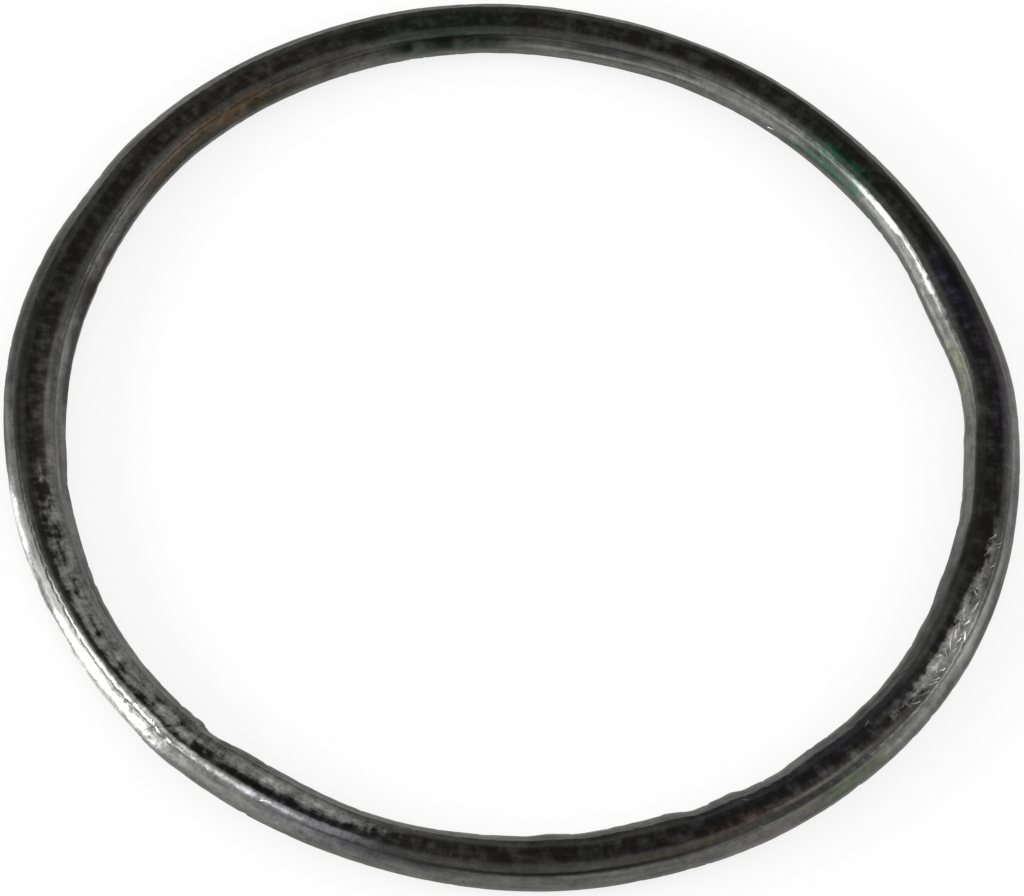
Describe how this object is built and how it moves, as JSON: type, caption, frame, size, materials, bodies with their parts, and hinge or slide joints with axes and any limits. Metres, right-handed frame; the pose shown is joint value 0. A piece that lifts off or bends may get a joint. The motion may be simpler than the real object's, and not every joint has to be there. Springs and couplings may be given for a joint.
{
  "type": "exhaust gasket",
  "caption": "Round exhaust flange gasket, a pressed ring of knitted steel wire and graphite with flat sealing faces, rolled rims and a scarfed seam.",
  "frame": {"origin": "centre of the bore on the lower sealing face, which rests on the surface", "axes": "+Z along the ring's axis, from the lower sealing face to the upper one; X and Y lie in the sealing plane, with the seam at 235 degrees from +X"},
  "size_m": [0.0983, 0.0978, 0.0036],
  "materials": {
    "graphite_steel_mesh": "dark knitted steel wire filled with graphite, pressed smooth on the faces and brighter along the rims and flanks"
  },
  "bodies": {
    "root": {"gasket_ring": "graphite_steel_mesh"}
  },
  "joints": []
}
